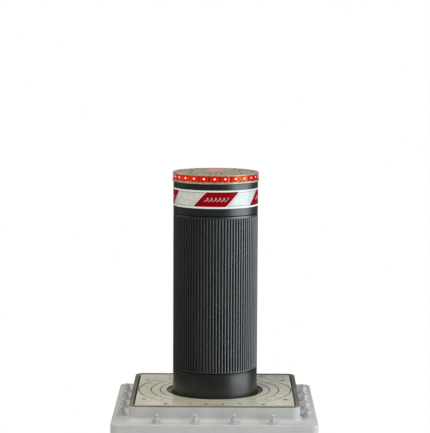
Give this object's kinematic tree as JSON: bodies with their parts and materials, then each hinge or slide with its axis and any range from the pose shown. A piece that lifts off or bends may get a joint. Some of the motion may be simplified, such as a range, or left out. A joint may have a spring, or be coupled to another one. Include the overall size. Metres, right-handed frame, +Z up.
{
  "type": "retractable bollard",
  "caption": "Automatic retractable bollard with a fluted post, lamp head, square cover plate, bolted ground frame and buried casing.",
  "frame": {"origin": "centre of the buried casing's underside; the paving level, which is the cover plate's top, is 1.150 m above it", "axes": "+Z up along the post's travel; -Y is the front, where a driver sees the post; +X to the right"},
  "size_m": [0.64, 0.64, 1.856],
  "materials": {
    "anthracite_paint": "satin",
    "cast_aluminium": "sandblasted",
    "red_lens": "clear red",
    "led_strip": "lamp strip",
    "band_film": "red and white reflective film",
    "stainless_plate": "engraved, brushed",
    "light_grey_steel": "satin",
    "galvanised_steel": "galvanised",
    "machined_steel": "machined",
    "chromed_steel": "hard chromed, ground",
    "black_rubber": "matte",
    "grey_wiper": "matte",
    "white_nylon": "machined nylon",
    "red_plastic": "moulded",
    "blue_grey_enamel": "enamel",
    "grey_plastic": "moulded"
  },
  "bodies": {
    "ground_unit": {"casing_shell": "galvanised_steel", "casing_flange": "galvanised_steel", "drain_pipe": "grey_plastic", "conduit_pipe": "grey_plastic", "junction_box": "grey_plastic", "junction_lid": "grey_plastic", "top_frame": "light_grey_steel", "cover_plate": "stainless_plate", "cover_screw_1": "machined_steel", "cover_screw_2": "machined_steel", "cover_screw_3": "machined_steel", "cover_screw_4": "machined_steel", "cover_screw_5": "machined_steel", "cover_screw_6": "machined_steel", "cover_screw_7": "machined_steel", "cover_screw_8": "machined_steel", "guide_housing": "galvanised_steel", "wiper_ring": "grey_wiper", "upper_guide_ring": "white_nylon", "lower_guide_ring": "white_nylon", "upper_stop_ring": "black_rubber", "guide_column_1": "machined_steel", "guide_column_2": "machined_steel", "guide_column_3": "machined_steel", "guide_column_4": "machined_steel", "base_plate": "galvanised_steel", "bottom_bumper_1": "black_rubber", "bottom_bumper_2": "black_rubber", "bottom_bumper_3": "black_rubber", "bottom_bumper_4": "black_rubber", "limit_sensor": "machined_steel", "rod_anchor": "galvanised_steel", "anchor_pin": "machined_steel", "piston_rod": "chromed_steel"},
    "post": {"post_tube": "anthracite_paint", "post_flange": "galvanised_steel", "guide_bush_1": "white_nylon", "guide_bush_2": "white_nylon", "guide_bush_3": "white_nylon", "guide_bush_4": "white_nylon", "lower_collar": "anthracite_paint", "fluted_sleeve": "anthracite_paint", "upper_collar": "anthracite_paint", "reflective_band": "band_film", "head_cap": "cast_aluminium", "led_strip": "led_strip", "led_lens": "red_lens", "cylinder_barrel": "blue_grey_enamel", "cylinder_gland": "machined_steel", "oil_tank": "blue_grey_enamel", "valve_block": "machined_steel", "pump": "cast_aluminium", "bell_housing": "cast_aluminium", "motor": "blue_grey_enamel", "pressure_pipe": "machined_steel", "suction_pipe": "machined_steel"},
    "plug_carrier": {"plug_seal": "black_rubber"},
    "plug": {"release_plug": "red_plastic"},
    "spindle": {"release_spindle": "machined_steel"},
    "coupling": {"drive_coupling": "machined_steel"}
  },
  "joints": [
    {"name": "post_travel", "type": "slide", "parent": "ground_unit", "child": "post", "axis": [0, 0, 1], "range_m": [-0.7, 0]},
    {"name": "plug_lift", "type": "slide", "parent": "post", "child": "plug_carrier", "axis": [0, 0, 1], "range_m": [0, 0.04]},
    {"name": "plug_turn", "type": "hinge", "parent": "plug_carrier", "child": "plug", "pos_m": [0, 0.057, 1.856], "axis": [0, 0, 1], "range_deg": [0, 90]},
    {"name": "spindle_turn", "type": "hinge", "parent": "post", "child": "spindle", "pos_m": [0, 0.057, 1.83], "axis": [0, 0, 1], "range_deg": [0, 90]},
    {"name": "coupling_spin", "type": "hinge", "parent": "post", "child": "coupling", "pos_m": [0, 0.08, 1.67], "axis": [0, 0, 1], "continuous": true}
  ]
}
